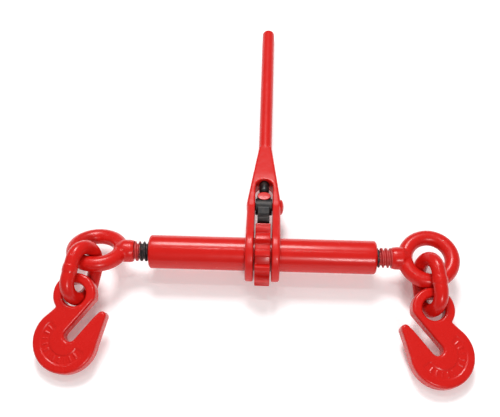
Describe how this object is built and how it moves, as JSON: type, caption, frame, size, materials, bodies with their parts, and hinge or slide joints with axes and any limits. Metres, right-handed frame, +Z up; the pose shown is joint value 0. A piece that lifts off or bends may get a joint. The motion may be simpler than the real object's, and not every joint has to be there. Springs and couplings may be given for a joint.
{
  "type": "load binder chain",
  "caption": "Ratchet load binder: threaded barrel with eye screws, a ratchet handle with pawl, and a chain link with a grab hook at each end.",
  "frame": {"origin": "middle of the binder's outline, on the surface it lies on", "axes": "+X along the barrel towards the right-hand-thread end, +Y towards the handle's tip as it lies, +Z up"},
  "size_m": [0.4686, 0.4928, 0.0694],
  "materials": {
    "red_barrel": "gloss",
    "red_nut": "gloss",
    "red_gear": "gloss",
    "red_handle": "gloss",
    "black_pawl": "satin",
    "red_pin": "gloss",
    "black_plunger": "satin",
    "spring_steel": "satin",
    "red_eye": "gloss",
    "bare_steel": "satin",
    "red_link": "gloss",
    "red_hook": "gloss"
  },
  "bodies": {
    "barrel": {"barrel_tube": "red_barrel", "left_end_nut": "red_nut", "right_end_nut": "red_nut", "ratchet_gear": "red_gear"},
    "handle": {"handle": "red_handle", "pawl_pin": "red_pin", "plunger_spring": "spring_steel"},
    "pawl": {"pawl": "black_pawl"},
    "plunger": {"detent_plunger": "black_plunger"},
    "left_stop": {"left_stop_washer": "bare_steel"},
    "left_eye": {"left_eye_screw": "red_eye", "left_stop_pin": "bare_steel"},
    "left_link": {"left_link": "red_link"},
    "left_hook": {"left_grab_hook": "red_hook"},
    "right_stop": {"right_stop_washer": "bare_steel"},
    "right_eye": {"right_eye_screw": "red_eye", "right_stop_pin": "bare_steel"},
    "right_link": {"right_link": "red_link"},
    "right_hook": {"right_grab_hook": "red_hook"}
  },
  "joints": [
    {"name": "handle_swing", "type": "hinge", "parent": "barrel", "child": "handle", "pos_m": [0.00727, -0.10494, 0.03469], "axis": [1, 0, 0], "continuous": true},
    {"name": "pawl_tilt", "type": "hinge", "parent": "handle", "child": "pawl", "pos_m": [0.00727, -0.04013, 0.02982], "axis": [1, 0, 0], "range_deg": [-14, 14]},
    {"name": "plunger_slide", "type": "slide", "parent": "handle", "child": "plunger", "axis": [0, 0.9972, -0.075], "range_m": [0, 0.003], "stiffness_N_per_m": 600, "springref_m": -0.004, "deforming": ["plunger_spring"]},
    {"name": "left_screw_slide", "type": "slide", "parent": "barrel", "child": "left_stop", "axis": [-1, 0, 0], "range_m": [-0.0151, 0.0701]},
    {"name": "left_screw_turn", "type": "hinge", "parent": "left_stop", "child": "left_eye", "pos_m": [-0.17573, -0.10494, 0.03469], "axis": [1, 0, 0], "range_deg": [-1080, 5040]},
    {"name": "left_link_swing", "type": "hinge", "parent": "left_eye", "child": "left_link", "pos_m": [-0.17573, -0.10494, 0.03469], "axis": [0, 0.4236, 0.9059], "range_deg": [-80, 40]},
    {"name": "left_hook_swing", "type": "hinge", "parent": "left_link", "child": "left_hook", "pos_m": [-0.19248, -0.16034, 0.03336], "axis": [-0.1162, -0.2774, 0.9537], "range_deg": [-60, 30]},
    {"name": "right_screw_slide", "type": "slide", "parent": "barrel", "child": "right_stop", "axis": [1, 0, 0], "range_m": [-0.0151, 0.0701]},
    {"name": "right_screw_turn", "type": "hinge", "parent": "right_stop", "child": "right_eye", "pos_m": [0.19027, -0.10494, 0.03469], "axis": [1, 0, 0], "range_deg": [-1080, 5040]},
    {"name": "right_link_swing", "type": "hinge", "parent": "right_eye", "child": "right_link", "pos_m": [0.19027, -0.10494, 0.03469], "axis": [0, 0.0495, -0.9988], "range_deg": [-85, 20]},
    {"name": "right_hook_swing", "type": "hinge", "parent": "right_link", "child": "right_hook", "pos_m": [0.19155, -0.16258, 0.02612], "axis": [0.1138, -0.1858, 0.976], "range_deg": [-30, 60]}
  ],
  "couplings": [
    {"joint": "left_screw_slide", "follows": "left_screw_turn", "m_per_rad": 0.00079577},
    {"joint": "right_screw_slide", "follows": "right_screw_turn", "m_per_rad": 0.00079577}
  ]
}
